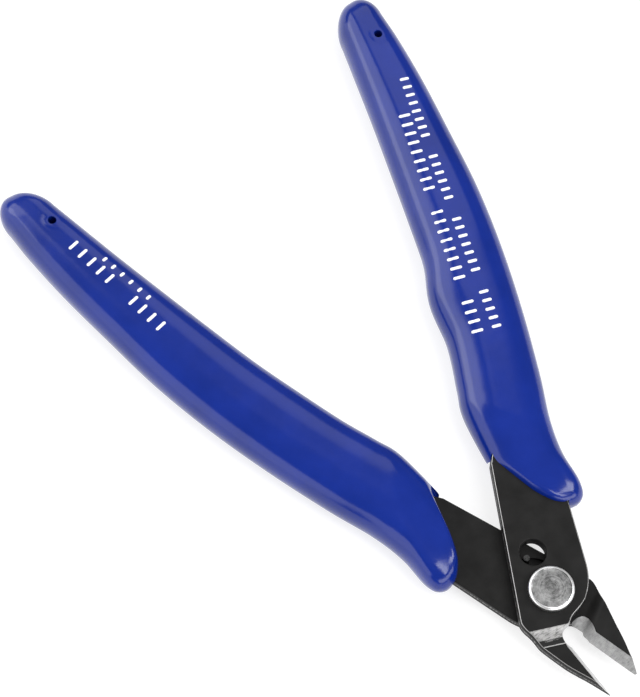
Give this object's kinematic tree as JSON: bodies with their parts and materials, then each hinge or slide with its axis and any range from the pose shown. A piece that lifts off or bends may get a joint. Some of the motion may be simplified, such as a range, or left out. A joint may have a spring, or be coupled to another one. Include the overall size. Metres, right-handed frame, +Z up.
{
  "type": "flush cutter",
  "caption": "Small hand cutter with two riveted black steel blades that close to a flush cut, a return spring between them and curved moulded grips.",
  "frame": {"origin": "middle of the box's base: on the surface that the grips lie on, midway between the tips and the handle ends", "axes": "+Y from the jaws to the handle ends, +X to the front half's grip, +Z up through the rivet, along the hinge axis"},
  "size_m": [0.0746, 0.1217, 0.0088],
  "materials": {
    "black_steel": "black oxide over stamped steel, satin, with bright ground cutting faces",
    "blue_vinyl": "glossy moulded vinyl, deep blue",
    "bright_steel": "turned bright steel",
    "spring_wire": "drawn music wire"
  },
  "bodies": {
    "rear_half": {"rear_blade": "black_steel", "rear_grip": "blue_vinyl", "pivot_rivet": "bright_steel", "return_spring": "spring_wire"},
    "front_half": {"front_blade": "black_steel", "front_grip": "blue_vinyl"}
  },
  "joints": [
    {"name": "pivot", "type": "hinge", "parent": "rear_half", "child": "front_half", "pos_m": [0, -0.04279, 0.0044], "axis": [0, 0, 1], "range_deg": [0, 16], "stiffness_Nm_per_rad": 1.6, "springref_deg": -6.88, "deforming": ["return_spring"]}
  ]
}
